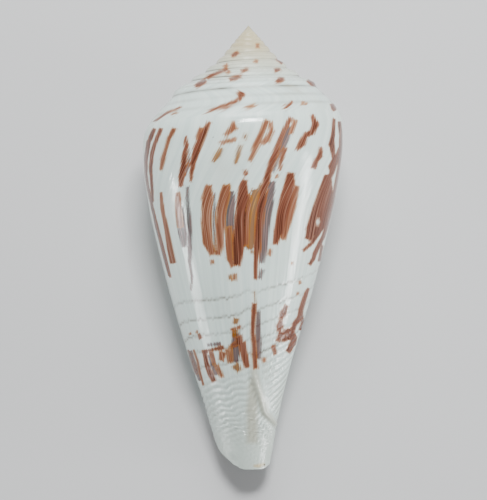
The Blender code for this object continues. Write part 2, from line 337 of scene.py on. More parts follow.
OCHRE_STROKES = (
    ((221.6, 149, 2.0), (218, 154.8, 2.9), (213.4, 161.4, 1.8)),
    ((245.8, 134.3, 1.6), (244.4, 138.7, 1.8)),
    ((240.7, 145.7, 1.8), (237.8, 154, 2.4), (235.5, 163.6, 1.7)),
    ((255.6, 191.3, 4.6), (254, 204, 5.2), (252, 218.7, 5.2), (250.8, 236, 5.0), (250.2, 248, 3.6)),
    ((261.6, 184, 2.0), (258, 196, 3.0)),
    ((229.7, 275.4, 1.5), (229.7, 279, 1.6)),
    ((292, 262.8, 1.2), (292.4, 264, 1.1)),
    ((226.6, 186.4, 3.8), (227.4, 190, 3.4)),
    ((254.2, 291.8, 0.8), (255.2, 302, 0.9)),
    ((236, 319.5, 2.8), (235.2, 323, 2.6)),
    ((235, 330, 3.2), (234.4, 336, 2.8)),
    ((236, 366, 4.0), (239, 370, 3.0)),
    ((254.2, 104.9, 0.5), (247, 107.5, 0.6)),
    ((256, 254, 1.2), (251.4, 252, 1.6)),
)
MAUVE_STROKES = (
    ((188.7, 148, 1.6), (188.2, 164, 1.8), (185, 176, 1.4)),
    ((201, 140, 1.8), (196, 158, 1.4), (192.4, 172, 1.0)),
    ((289.8, 127, 2.8), (285.6, 138.7, 3.6), (281, 150.4, 3.2), (277, 160, 2.0), (273, 172, 1.6)),
    ((177.7, 196, 2.4), (180, 214, 4.4), (182.4, 232, 4.6), (184, 246, 2.6)),
    ((187.4, 187, 2.0), (188.0, 208.4, 2.4), (189.4, 230.4, 2.5), (190, 246, 2.3), (189.6, 262, 1.8)),
    ((189.6, 262, 1.6), (191.8, 277, 1.3), (191.2, 290, 1.0)),
    ((214.2, 194, 1.6), (214.2, 225, 2.0), (215.1, 252, 1.6)),
    ((230.4, 193, 4.6), (230, 220, 5.0), (230.6, 246, 4.8), (232, 260, 3.6)),
    ((249.6, 194, 2.6), (247, 220, 3.0), (246, 246, 3.0)),
    ((271.6, 183, 4.2), (268.4, 204, 5.6), (264.6, 226, 5.4), (262.8, 248, 4.4), (262, 262, 2.6)),
    ((262.4, 270, 2.2), (260, 277.8, 2.4)),
    ((258.4, 312, 2.0), (258, 326, 2.6), (258.6, 342.7, 3.2), (258.6, 358, 2.4)),
    ((236, 334, 3.6), (236, 348, 6.0), (234, 360, 5.0)),
    ((210.6, 355, 3.4), (213.8, 366, 3.6), (216, 374, 2.6)),
    ((190, 352, 2.4), (195, 366, 2.6), (200, 380, 2.0)),
    ((208, 345, 2.0), (220, 344, 2.0)),
    ((150, 196, 1.0), (156, 224, 1.8), (163, 252, 1.6), (169, 276, 1.0)),
)
MARK_STROKES = {
    "chestnut": CHESTNUT_STROKES,
    "sienna": SIENNA_STROKES,
    "ochre": OCHRE_STROKES,
    "mauve": MAUVE_STROKES,
}
MARK_COLOURS = tuple(MARK_STROKES)

# A pale spot and a pale streak that the marks leave free on the back, but for the mauve ones,
# and the pixels by which they are wider than drawn
GAPS = (
    ((318.2, 218.4, 0.8), (317.8, 221.8, 2.0), (317.3, 225.4, 0.7)),
    ((214.6, 192, 0.5), (213.4, 218, 0.7), (215.6, 250, 0.6)),
)
GAP_MARGIN = 0.3

# The field's value far outside every mark, in mm. Past these angles round from the top of the
# back the strokes get thinner by so much a degree, the gaps end, and the random marks are whole.
# The last is the least foreshortening that a stroke is divided by
NO_MARK = -3.0
THINNER_PER_DEGREE = 0.15
SEEN_UP_TO = 81.0
GAPS_UP_TO = 85.0
UNSEEN_FROM = 90.0
FLATTEST_VIEW = 0.17

# Two dark specks, one in the shoulder band and one at the anterior end, and its yellow stain
SPECKS = (
    ((212.6, 137, 0.9), (213.4, 137, 0.9)),
    ((264.1, 464.6, 0.8), (264.8, 464.6, 0.8)),
)
STAIN = (((254, 466, 0.8), (259, 465.6, 1.5), (264, 464.4, 1.0)),)

# The creamy scar of a former lip, from the lower flames down and round to the right, the dull
# stretch left of it, and four spots of dirt on the newest ramp. Along the scar and in the dull
# stretch beside its ridge the grey is painted shade as well as the scar's own cream
SCAR_SHADE_AND_DIRT_STROKES = (
    ((252.5, 352, 1.0), (254.5, 374, 3.0), (259.6, 395.7, 4.2), (264.6, 413, 3.6), (275.4, 423.8, 2.0)),
    ((254, 380, 4.0), (252, 410, 6.0), (252, 440, 5.0)),
    ((268, 84.5, 0.8), (276, 86, 1.0)),
    ((285, 85.5, 1.0), (290, 86.5, 0.8)),
    ((295, 89, 0.7), (299, 90, 0.7)),
    ((243, 84, 0.9), (247, 86, 1.2)),
)

# Bands of the hidden side's flames: height of top and foot, whorl radius, number, and the half
# width of the narrowest and the widest. They stand between two growth angles
HIDDEN_BANDS = (
    (29.0, 47.0, 28.0, 25, 0.4, 1.2),
    (49.0, 71.0, 25.0, 17, 1.0, 3.2),
    (84.0, 103.0, 15.0, 11, 0.6, 2.0),
)
HIDDEN_FLAMES_FROM = -236.0
HIDDEN_FLAMES_TO = 132.0
HIDDEN_SEED = 29

# Painted shade in the lines between cords and in the sutures, as shares of a groove's painted
# shade. Round the apex there is none up to a radius, and from there it grows to full over a width
BETWEEN_CORDS_SHADE = 0.4
SUTURE_SHADE = 0.8
CLEAN_APEX = 2.0
CLEAN_APEX_FADE = 5.0

# The cylinder on which the growth angle is wound for the streaks
STREAK_RADIUS = 25.0


def smooth_line(points, x):
    """Cubic line through a few points, with each slope taken from the point's neighbours."""
    knots, values = np.array(points).T
    slopes = np.gradient(values, knots)
    x = np.asarray(x, dtype=float)
    left = np.clip(np.searchsorted(knots, x) - 1, 0, len(knots) - 2)
    span = knots[left + 1] - knots[left]
    t = np.clip((x - knots[left]) / span, 0.0, 1.0)
    from_left = (2 * t**3 - 3 * t**2 + 1) * values[left] + (t**3 - 2 * t**2 + t) * span * slopes[left]
    from_right = (3 * t**2 - 2 * t**3) * values[left + 1] + (t**3 - t**2) * span * slopes[left + 1]
    return from_left + from_right


def ease(t):
    """0 to 1 with flat ends."""
    t = np.clip(t, 0.0, 1.0)
    return t * t * (3.0 - 2.0 * t)


def bell(x, middle, width):
    """1 at the middle, falling off to both sides."""
    return np.exp(-(((x - middle) / width) ** 2))


def between(pair, share):
    """The value at a share of the way from the first of a pair to the second."""
    return pair[0] + (pair[1] - pair[0]) * share


def growth(angle):
    """Size of the whorl at a growth angle, 1 at the shoulder's reference angle."""
    return WHORL_GROWTH ** ((angle - SHOULDER_ANGLE) / 360.0)


def suture(angle):
    """Radius and depth of the line along which the whorl one turn later is attached."""
    radius = SHOULDER_RADIUS * growth(angle)
    return radius, smooth_line(SPIRE_OUTLINE, radius)


def ramp(angle, share):
    """Radius and depth on the ramp, from the suture above (share 0) to the shoulder (share 1):
    a Bezier line between the two sutures that leaves and meets them at the two ramp slopes."""
    top_radius, top_depth = suture(angle - 360.0)
    foot_radius, foot_depth = suture(angle)
    length = np.hypot(foot_radius - top_radius, foot_depth - top_depth)
    age = ease((angle - YOUNG_UP_TO) / YOUNG_TO_LAST)
    top_slope = between(RAMP_SLOPE_TOP, age)
    foot_slope = between(RAMP_SLOPE_FOOT, age)
    top_reach = length * between(RAMP_REACH_TOP, age) / np.hypot(1.0, top_slope)
    foot_reach = length * between(RAMP_REACH_FOOT, age) / np.hypot(1.0, foot_slope)
    weights = ((1 - share) ** 3, 3 * share * (1 - share) ** 2, 3 * share**2 * (1 - share), share**3)
    radii = (top_radius, top_radius + top_reach, foot_radius - foot_reach, foot_radius)
    depths = (top_depth, top_depth + top_reach * top_slope, foot_depth - foot_reach * foot_slope, foot_depth)
    return sum(w * r for w, r in zip(weights, radii)), sum(w * d for w, d in zip(weights, depths))


def side(angle, share):
    """Radius and depth on the whorl's side, from the shoulder (share 0) to the anterior end
    (share 1): the side outline scaled to the whorl, eased onto the shoulder's own radius."""
    size = growth(angle)
    shoulder_radius, shoulder_depth = suture(angle)
    depth = shoulder_depth + share * (SHELL_LENGTH - shoulder_depth)
    outline = size * smooth_line(SIDE_OUTLINE, depth / size)
    miss = shoulder_radius - size * smooth_line(SIDE_OUTLINE, shoulder_depth / size)
    return outline + miss * np.exp((shoulder_depth - depth) / (SHOULDER_BLEND * size)), depth


def lip_lag_on_ramp(share):
    """How far the growth line stays behind on the ramp: the broad notch at the shoulder."""
    return -NOTCH_AT_SUTURE - NOTCH_DEPTH * np.sin(math.pi * share)


def lip_lag_on_side(share):
    """How far the growth line stays behind on the side: out of the notch onto the straight
    lip, then back again round the siphonal canal's end."""
    notch = -NOTCH_AT_SUTURE * (1.0 - ease(share / NOTCH_FOOT))
    down_canal = np.clip((share - CANAL_START) / (1.0 - CANAL_START), 0.0, 1.0)
    return notch - CANAL_SWEEP * down_canal**CANAL_CURVE


def rounded_end(angle, radius, depth):
    """The depth drawn back at the two corners of the anterior end, which are rounded off: the
    more, the farther a point lies to the left or right of the axis and the nearer to the end."""
    aside = np.abs(radius * np.sin(np.radians(angle)))
    corner = ease((aside - ROUNDED_FROM) / ROUNDED_WIDTH)
    toward_end = ease((depth - SHELL_LENGTH + ROUNDED_LENGTH) / ROUNDED_LENGTH)
    return depth - END_ROUNDING * corner * toward_end


def place(angle, radius, depth):
    """Points of the shell's own frame."""
    turn = np.radians(angle)
    return np.stack([-radius * np.sin(turn), -depth, radius * np.cos(turn)], axis=-1)


class Surface:
    """Gathers the shell's vertices with their growth coordinates, and its faces."""

    def __init__(self):
        self.places = []
        self.coordinates = []
        self.count = 0
        self.triangles = []

    def add(self, places, grow_angle, angle, share, kind):
        """Adds a grid of points and returns their numbers. Kept with each are its growth angle,
        its own angle, its share of the way down the ramp or side, and the kind of surface."""
        shape = places.shape[:-1]
        numbers = self.count + np.arange(int(np.prod(shape))).reshape(shape)
        self.places.append(places.reshape(-1, 3))
        fields = [np.broadcast_to(field, shape).reshape(-1) for field in (grow_angle, angle, share, kind)]
        self.coordinates.append(np.stack(fields, axis=1))
        self.count += numbers.size
        return numbers

    def join(self, line, next_line):
        """Strips of triangles between rows of vertices along the last axis, two to a cell.
        Where the rows share a vertex one of the two has no area, and it is left out."""
        a, b = line[..., :-1].ravel(), line[..., 1:].ravel()
        d, c = next_line[..., :-1].ravel(), next_line[..., 1:].ravel()
        cells = np.concatenate([np.stack([c, b, a], axis=1), np.stack([d, c, a], axis=1)])
        distinct = (cells[:, 0] != cells[:, 1]) & (cells[:, 1] != cells[:, 2]) & (cells[:, 0] != cells[:, 2])
        self.triangles.append(cells[distinct])


def wavy(x, waves, seed):
    """A smooth irregular line round 0, one turn long: a sum of sines with random phases."""
    phases = np.random.default_rng(seed).uniform(0.0, 2.0 * math.pi, len(waves))
    return sum(np.sin(np.radians(x) * wave + phase) for wave, phase in zip(waves, phases)) / len(waves)


def spiral_line(grow_angle, angle, depth):
    """Names the spiral line through a point by the depth at which it would reach the left
    contour. The lines climb toward the spire a little faster than the whorl grows, but run
    flatter on the newest part. Above the base they waver and jump at the scar."""
    jump = sum(height * bell(grow_angle, at, width) for at, width, height in SCAR_JUMPS)
    above_base = ease((WAVER_ENDS_AT - depth) / WAVER_FADES_OVER)
    flatter = 1.0 + FLATTER_BY * ease((grow_angle - FLATTER_PAST) / FLATTER_OVER)
    steady = depth / growth(angle) ** SPIRAL_CLIMB * flatter
    return steady + above_base * (WAVER * wavy(grow_angle, *LINE_WAVES) + jump)


def past_scar(places, angle):
    """How far right of the scar's ridge the points lie, in pixels: past it lies the older part
    of the whorl, on the back as far as the ridge shows it and on the whole right half below."""
    across, down = picture_place(places)
    ridge_across, ridge_down = np.array(RIDGE_LINE).T
    on_back = across - np.interp(down, ridge_down, ridge_across)
    elsewhere = np.where(angle < 0.0, FAR_FROM_RIDGE, -FAR_FROM_RIDGE)
    return np.where(np.cos(np.radians(angle)) > 0.0, on_back, elsewhere)


def cords(line, grow_angle, beside_ridge):
    """The base's spiral cords as a wave from -1 in the troughs to 1 on the cords: broad and
    wavering on the newer side of the ridge, finer and straighter on the older side."""
    newer = ease((line - NEWER_CORDS_FROM) / CORDS_GROW_OVER)
    newer = newer * ease((NEWER_CORDS_END - beside_ridge) / NEWER_CORDS_FADE)
    older = ease((line - OLDER_CORDS_FROM) / CORDS_GROW_OVER)
    older = older * ease((beside_ridge - OLDER_CORDS_END) / OLDER_CORDS_FADE)
    waver = line + CORD_WAVER * wavy(grow_angle, *CORD_WAVES)
    waver = waver + CORD_TREMBLE * wavy(grow_angle + 2.0 * line, *CORD_TREMBLE_WAVES)
    newer_wave = np.sin(2.0 * math.pi * waver / NEWER_CORD_SPACING)
    older_wave = np.sin(2.0 * math.pi * line / OLDER_CORD_SPACING)
    return newer * newer_wave + older * older_wave


def short_of_end(depth):
    """1 on the base and easing to 0 on the anterior end, where the cords are fainter."""
    return ease((CORDS_FAINT_AT - depth) / CORDS_FADE_OVER)


def relief_on_side(places, grow_angle, angle, depth):
    """Height of the fine relief on the side, outwards: the spiral grooves, the cords of the
    base, the growth lines, and the oblique ridge that a former lip left on the back."""
    line = spiral_line(grow_angle, angle, depth)
    relief = np.zeros(line.shape)
    for groove in SPIRAL_GROOVES:
        relief -= GROOVE_DEPTH * bell(line, groove, GROOVE_WIDTH)
    beside_ridge = past_scar(places, angle)
    base_cords = CORD_HEIGHT * cords(line, grow_angle, beside_ridge)
    relief += base_cords * between((CORD_LEFT_AT_END, 1.0), short_of_end(depth))
    growth_lines = GROWTH_LINE_HEIGHT * wavy(grow_angle, *GROWTH_LINE_WAVES)
    relief += growth_lines * ease((GROWTH_LINES_END_AT - depth) / GROWTH_LINES_FADE_OVER)
    crest = bell(beside_ridge, 0.0, RIDGE_WIDTH)
    hollow = HOLLOW_SHARE * bell(beside_ridge, HOLLOW_BESIDE, HOLLOW_WIDTH)
    upper_end = ease((depth - RIDGE_FROM) / RIDGE_GROWS_OVER)
    lower_end = ease((RIDGE_UP_TO - depth) / RIDGE_FADES_OVER)
    return relief + RIDGE_HEIGHT * (crest - hollow) * upper_end * lower_end


def relief_on_ramp(grow_angle, share):
    """Height of the fine relief on the ramp, outwards: three low spiral cords and the growth
    lines, all fading out at the sutures."""
    middle = np.sin(math.pi * share)
    spiral_cords = RAMP_CORD_HEIGHT * np.sin(2.0 * math.pi * RAMP_CORDS * share)
    return middle * (spiral_cords + RAMP_GROWTH_LINE_HEIGHT * wavy(grow_angle, *RAMP_GROWTH_LINE_WAVES))


def uneven_steps(step):
    """Growth angles of the columns, counted back from the lip: even steps, less a sine that
    draws them together on the back. Each turn has the same steps, so its columns meet the next
    turn's at the suture."""
    even = LIP_ANGLE + step * 360.0 / STEPS_PER_TURN
    sine = np.sin(np.radians(even - CLOSEST_AT)) - math.sin(math.radians(LIP_ANGLE - CLOSEST_AT))
    return even - math.degrees(CLOSER_BY) * sine


def build_shell():
    """The shell's fine surface: the same helical grid as the solid's, one column for each
    growth step and rows from the suture over the ramp and down the side. The last ramp row of
    a column is the first row of the column one turn later."""
    surface = Surface()
    turn = STEPS_PER_TURN
    ramp_end = RAMP_ROWS
    last_row = RAMP_ROWS + SIDE_ROWS
    first_angle = SHOULDER_ANGLE + 360.0 * (1.0 + math.log(FIRST_RADIUS / SHOULDER_RADIUS, WHORL_GROWTH))
    lip = round((LIP_ANGLE - first_angle) / 360.0 * turn)
    mouth = lip - turn
    step_angles = uneven_steps(np.arange(lip + 1) - lip)
    cavity = lip - int(np.searchsorted(step_angles, LIP_ANGLE - CAVITY_ANGLE))
    shares_back = np.linspace(0.0, 1.0, CAVITY_COLUMNS + 1) ** CAVITY_CROWDING
    back = np.unique(np.round(cavity * shares_back).astype(int))
    ramp_share = np.arange(ramp_end + 1) / RAMP_ROWS
    side_steps_down = np.arange(1, SIDE_ROWS + 1) / SIDE_ROWS
    side_share = side_steps_down * (1.0 + ROWS_CLOSER_BY - ROWS_CLOSER_BY * side_steps_down)

    angles = step_angles[:, None] + lip_lag_on_ramp(ramp_share)
    grid = np.zeros((lip + 1, last_row + 1), dtype=int)
    radius, depth = ramp(angles, ramp_share)
    relief = relief_on_ramp(step_angles[:, None], ramp_share)
    depth = depth - relief * np.clip(radius / FULL_RAMP_RELIEF_FROM, 0.0, 1.0)
    ramp_places = place(angles, radius, depth)
    grid[:, : ramp_end + 1] = surface.add(ramp_places, step_angles[:, None], angles, ramp_share, ON_RAMP)
    grid[turn:, 0] = grid[:-turn, ramp_end]

    # The side rows of the last turn, and of the columns that the cavity shows
    parietal_steps = mouth - back[:0:-1]
    side_steps = np.concatenate([parietal_steps, np.arange(mouth, lip + 1)])
    column_angles = step_angles[side_steps, None]
    angles = column_angles + lip_lag_on_side(side_share)
    radius, depth = side(angles, side_share)
    shown = (column_angles >= step_angles[mouth]) * ease(side_share / FULL_SIDE_RELIEF_FROM)
    radius = radius + shown * relief_on_side(place(angles, radius, depth), column_angles, angles, depth)
    side_places = place(angles, radius, rounded_end(angles, radius, depth))
    grid[side_steps, ramp_end + 1 :] = surface.add(side_places, column_angles, angles, side_share, ON_SIDE)

    # The cavity's outer wall, whose ceiling runs under the ramp
    wall_steps = step_angles[lip - back][:, None]
    wall = between((LIP_EDGE_WALL, INNER_WALL), ease((LIP_ANGLE - wall_steps) / WALL_GROWS_OVER))
    ceiling_rows = np.arange(CEILING_ROWS + 1, ramp_end + 1)
    along_ceiling = (ceiling_rows - CEILING_ROWS) / (ramp_end - CEILING_ROWS)
    share = between((CEILING_START, 1.0), along_ceiling)
    angles = wall_steps + lip_lag_on_ramp(share)
    radius, depth = ramp(angles, share)
    radius_ahead, depth_ahead = ramp(angles, share + 0.01)
    stretch = np.hypot(radius_ahead - radius, depth_ahead - depth)
    ceiling_radius = radius - wall * (depth_ahead - depth) / stretch
    ceiling_depth = depth + wall * (radius_ahead - radius) / stretch
    ceiling_places = place(angles, ceiling_radius, ceiling_depth)
    inner = np.zeros((len(back), last_row + 1), dtype=int)
    inner[:, ceiling_rows] = surface.add(ceiling_places, wall_steps, angles, share, IN_CAVITY)
    inner[:, CEILING_ROWS] = grid[mouth - back, ramp_end + CEILING_ROWS]
    angles = wall_steps + lip_lag_on_side(side_share)
    radius, depth = side(angles, side_share)
    size_before = growth(angles - 360.0)
    radius_before = size_before * smooth_line(SIDE_OUTLINE, depth / size_before)
    side_wall = np.minimum(wall, CANAL_SHARE * (radius - radius_before))
    inner_places = place(angles, radius - side_wall, rounded_end(angles, radius, depth))
    inner[:, ramp_end + 1 :] = surface.add(inner_places, wall_steps, angles, side_share, IN_CAVITY)

    apex = surface.add(np.zeros((1, 3)), 0.0, 0.0, 0.5, ON_RAMP)[0]
    tip_place = np.array([[0.0, -SHELL_LENGTH + TIP_INSET, 0.0]])
    tip = surface.add(tip_place, 0.0, 0.0, 1.0, ON_SIDE)[0]

    surface.join(grid[:mouth, : ramp_end + 1], grid[1 : mouth + 1, : ramp_end + 1])
    surface.join(grid[mouth:lip], grid[mouth + 1 :])
    surface.join(inner[:-1, CEILING_ROWS:], inner[1:, CEILING_ROWS:])
    parietal = grid[mouth - back, ramp_end + CEILING_ROWS :]
    surface.join(parietal[1:], parietal[:-1])

    # The lip's edge, the cavity's far end and the end face of the canal's wall
    lip_inside = np.concatenate([grid[mouth, ramp_end : ramp_end + CEILING_ROWS], inner[0, CEILING_ROWS:]])
    surface.join(grid[lip], lip_inside)
    far_end = np.concatenate([np.full(ramp_end, parietal[-1, 0]), parietal[-1]])
    surface.join(inner[-1, CEILING_ROWS:], far_end)
    every_back = np.arange(cavity + 1)
    nearest = np.searchsorted(back, every_back)
    surface.join(grid[lip - every_back, last_row], inner[nearest, last_row])

    # The two ends of the coil, closed by fans
    apex_loop = np.concatenate([grid[: turn + 1, 0], grid[0, ramp_end - 1 :: -1]])
    end_row = grid[side_steps, last_row]
    tip_loop = np.concatenate([end_row[:-cavity], inner[-1:, last_row], end_row[:1]])
    surface.join(apex_loop, np.full(len(apex_loop), apex))
    surface.join(np.full(len(tip_loop), tip), tip_loop)
    return surface


def finished_mesh(surface):
    """The surface as a mesh lying on the ground, in metres, with unused points left out."""
    triangles = np.concatenate(surface.triangles)
    used, corners = np.unique(triangles, return_inverse=True)
    own_places = np.concatenate(surface.places)[used]
    coordinates = np.concatenate(surface.coordinates)[used]
    rise = Matrix.Rotation(math.radians(AXIS_RISE), 3, "X")
    lying = own_places @ np.array(rise).T * MM
    low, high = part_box("shell")
    offset = (np.array(low) + np.array(high)) / 2.0 - (lying.min(axis=0) + lying.max(axis=0)) / 2.0
    offset[2] = -lying[:, 2].min() - WORN_FLAT * MM
    lying = lying + offset
    lying[:, 2] = np.maximum(lying[:, 2], 0.0)
    mesh = bpy.data.meshes.new("cone shell")
    mesh.from_pydata(lying, [], corners.reshape(-1, 3))
    mesh.update()
    mesh.shade_smooth()
    mesh.set_sharp_from_angle(angle=math.radians(SHARP_FROM))
    return mesh, own_places, coordinates, offset


def picture_place(own_places):
    """Where the camera sees points of the shell's own frame: pixels across and down."""
    side_way, along, height = own_places[..., 0], own_places[..., 1], own_places[..., 2]
    x = side_way - PICTURE_CENTRE_SIDE
    y = along + PICTURE_CENTRE_DEPTH
    scale = PICTURE_SCALE * CAMERA_DISTANCE / (CAMERA_DISTANCE - height)
    turn = math.radians(PICTURE_TURN)
    across = PICTURE[0] / 2.0 + scale * (x * math.cos(turn) - y * math.sin(turn))
    down = PICTURE[1] / 2.0 - scale * (y * math.cos(turn) + x * math.sin(turn))
    return across, down


def stroke_field(x, y, strokes):
    """How far inside the nearest stroke each point lies, in the strokes' own unit: half the
    stroke's width minus the distance to its middle line, with square ends."""
    field = np.full(x.shape, NO_MARK)
    for stroke in strokes:
        for (x0, y0, half0), (x1, y1, half1) in zip(stroke[:-1], stroke[1:]):
            length = math.hypot(x1 - x0, y1 - y0)
            along = ((x - x0) * (x1 - x0) + (y - y0) * (y1 - y0)) / length
            across = np.abs((x - x0) * (y1 - y0) - (y - y0) * (x1 - x0)) / length
            half = half0 + np.clip(along / length, 0.0, 1.0) * (half1 - half0)
            excess = np.maximum(np.maximum(-along, along - length), 0.0)
            field = np.maximum(field, np.minimum(half - across, 0.5 * half - excess))
    return field


def hidden_flames(rng):
    """Flames for the side that the photograph doesn't show, by colour and band: each point is
    growth angle, height on the whorl in mm and half width in mm. They stand in the same three
    bands as the flames of the back."""
    flames = {(colour, band): [] for colour in MARK_COLOURS for band in range(len(HIDDEN_BANDS))}
    span = HIDDEN_FLAMES_TO - HIDDEN_FLAMES_FROM
    for band, (top, foot, radius, count, narrow, wide) in enumerate(HIDDEN_BANDS):
        even = np.linspace(HIDDEN_FLAMES_FROM, HIDDEN_FLAMES_TO, count)
        for angle in even + rng.uniform(-0.4, 0.4, count) * span / count:
            across = radius * math.radians(angle)
            slant = rng.uniform(-0.5, 0.5)
            width = rng.uniform(narrow, wide)
            main = "chestnut" if rng.random() < 0.6 else "sienna"
            streaks = max(1, round(width / 0.5))
            for place_in_flame in np.linspace(-1.0, 1.0, streaks + 2)[1:-1]:
                upper = top + rng.uniform(0.0, 0.35) * (foot - top)
                lower = foot - rng.uniform(0.0, 0.4) * (foot - top)
                half = rng.uniform(0.7, 1.2) * width / streaks
                x = across + place_in_flame * width
                middle = (x + slant * 0.5, (upper + lower) / 2.0, half)
                colour = main if rng.random() < 0.7 else MARK_COLOURS[rng.integers(0, 4)]
                flames[colour, band].append(((x, upper, half * 0.6), middle, (x + slant, lower, half * 0.5)))
    return flames


def hidden_spots(rng):
    """Spots for the hidden half of the ramps, in plan: each point is across, up and half width
    in mm, and each spot is drawn out along the growth line."""
    spots = []
    for radius in np.linspace(7.0, 29.0, 34):
        angle = math.radians(rng.uniform(92.0, 268.0))
        reach = rng.uniform(0.03, 0.09) * radius
        sweep = rng.uniform(0.02, 0.14)
        half = rng.uniform(0.25, 0.5)
        ends = [(radius, angle), (radius + reach, angle - sweep)]
        spots.append(tuple((-r * math.sin(a), r * math.cos(a), half) for r, a in ends))
    return spots


def mark_fields(own_places, coordinates):
    """The shell's colour marks as fields, in mm inside each mark's edge. The back has the
    photograph's strokes, which get thinner past the outline, and the far side the random ones.
    A stroke is divided by the foreshortening of the place where it lies, and the gaps are cut
    out of every colour but the mauve."""
    grow_angle, angle, _, kind = coordinates.T
    across, down = picture_place(own_places)
    round_back = np.abs((angle + 180.0) % 360.0 - 180.0)
    foreshortening = np.maximum(np.cos(np.radians(round_back)), FLATTEST_VIEW)
    past_outline = THINNER_PER_DEGREE * np.maximum(round_back - SEEN_UP_TO, 0.0)
    before_outline = THINNER_PER_DEGREE * np.maximum(UNSEEN_FROM - round_back, 0.0)
    height = -own_places[:, 1] / growth(angle)
    outside = (kind == ON_RAMP) | ((kind == ON_SIDE) & (grow_angle >= LIP_ANGLE - 360.0))
    rng = np.random.default_rng(HIDDEN_SEED)
    flames = hidden_flames(rng)
    spots = hidden_spots(rng)
    gaps = (stroke_field(across, down, GAPS) + GAP_MARGIN) / PICTURE_SCALE
    gapped = round_back <= GAPS_UP_TO
    fields = {}
    for colour, strokes in MARK_STROKES.items():
        seen = stroke_field(across, down, strokes) / PICTURE_SCALE / foreshortening - past_outline
        unseen = np.full(seen.shape, NO_MARK)
        for band, (_, _, radius, _, _, _) in enumerate(HIDDEN_BANDS):
            turned = radius * np.radians(grow_angle)
            drawn = stroke_field(turned, height, flames[colour, band])
            unseen = np.maximum(unseen, np.where(kind == ON_SIDE, drawn, NO_MARK))
        if colour == "chestnut":
            drawn = stroke_field(own_places[:, 0], own_places[:, 2], spots)
            unseen = np.maximum(unseen, np.where(kind == ON_RAMP, drawn, NO_MARK))
        field = np.maximum(seen, unseen - before_outline)
        if colour != "mauve":
            field = np.where(gapped, np.minimum(field, -gaps), field)
        fields[colour] = np.where(outside, np.maximum(field, NO_MARK), NO_MARK)
    return fields


def tint_fields(own_places, coordinates):
    """Where the shell is tinted or shaded. The grooves, the sutures and the inside of the cavity go from
    0 to 1, and the specks, the stain and the scar with the ramp's dirt spots are in mm inside their
    edges. The groove's field also has the troughs between the base's cords, and the lines and
    sutures of the ramp. The grooves, troughs, ramp lines and sutures are darkened as painted shade,
    and the scar's field also carries painted shade along the scar and beside its ridge."""
    grow_angle, angle, share, kind = coordinates.T
    depth = -own_places[:, 1]
    line = spiral_line(grow_angle, angle, depth)
    on_side = kind == ON_SIDE
    on_ramp = kind == ON_RAMP
    newest_turn = grow_angle >= LIP_ANGLE - 360.0
    groove = sum(bell(line, at, GROOVE_WIDTH) for at in SPIRAL_GROOVES)
    # Painted shade in the troughs between the base's cords
    troughs = np.maximum(-cords(line, grow_angle, past_scar(own_places, angle)), 0.0)
    groove += BETWEEN_CORDS_SHADE * troughs * short_of_end(depth)
    ramp_row = np.round(share * RAMP_ROWS)
    radius = np.hypot(own_places[:, 0], own_places[:, 2])
    from_apex = ease((radius - CLEAN_APEX) / CLEAN_APEX_FADE) * on_ramp
    at_suture = (ramp_row == RAMP_ROWS) & ~newest_turn
    between_cords = (ramp_row % (RAMP_ROWS // RAMP_CORDS) == 0) & (ramp_row < RAMP_ROWS)
    # Painted shade in the ramp's sutures and in its lines between cords
    recess_shade = [SUTURE_SHADE, BETWEEN_CORDS_SHADE]
    ramp_lines = np.select([at_suture, between_cords], recess_shade, 0.0) * from_apex
    fields = {
        "groove": np.where(on_side & newest_turn, groove, ramp_lines),
        "suture": at_suture * from_apex,
        "inside": np.where((kind == IN_CAVITY) | (on_side & ~newest_turn), 1.0, 0.0),
    }
    across, down = picture_place(own_places)
    on_back = ((on_side & newest_turn) | on_ramp) & (np.cos(np.radians(angle)) > 0.0)
    # The scar's field is partly painted shade along the scar and beside its ridge, and holds dirt spots
    for name, strokes in (("speck", SPECKS), ("stain", STAIN), ("scar_shade_and_dirt", SCAR_SHADE_AND_DIRT_STROKES)):
        drawn = np.clip(stroke_field(across, down, strokes) / PICTURE_SCALE, NO_MARK, 1.0)
        fields[name] = np.where(on_back, drawn, NO_MARK)
    return fields


def add_fields(mesh, own_places, coordinates):
    """Stores the colour fields on the vertices, and with them the growth line's place: the
    growth angle wound on the streaks' cylinder, and the depth."""
    fields = mark_fields(own_places, coordinates) | tint_fields(own_places, coordinates)
    for name, field in fields.items():
        attribute = mesh.attributes.new(name, "FLOAT", "POINT")
        attribute.data.foreach_set("value", field.astype(np.float32))
    turn = np.radians(coordinates[:, 0])
    columns = [STREAK_RADIUS * np.sin(turn), -own_places[:, 1], STREAK_RADIUS * np.cos(turn)]
    attribute = mesh.attributes.new("growth_line", "FLOAT_VECTOR", "POINT")
    attribute.data.foreach_set("vector", np.stack(columns, axis=1).astype(np.float32).ravel())


def linear(hex_colour):
    """Linear colour of an sRGB hex value such as 8a3b12."""
    channels = np.array([int(hex_colour[i : i + 2], 16) / 255.0 for i in (0, 2, 4)])
    bright = ((channels + 0.055) / 1.055) ** 2.4
    return (*np.where(channels <= 0.04045, channels / 12.92, bright).tolist(), 1.0)


def add_node(tree, kind, inputs=(), **settings):
    """Adds a shader node with its settings. An input that is given a node's output is linked to
    it, and any other takes the value itself."""
    node = tree.nodes.new("ShaderNode" + kind)
    for name, value in settings.items():
        setattr(node, name, value)
    for socket, value in dict(inputs).items():
        if isinstance(value, bpy.types.NodeSocket):
            tree.links.new(value, node.inputs[socket])
        else:
            node.inputs[socket].default_value = value
    return node


def new_material(name):
    """An empty material with its shader, and the node tree to fill."""
    material = bpy.data.materials.new(name)
    material.use_nodes = True
    tree = material.node_tree
    return material, tree, tree.nodes["Principled BSDF"]


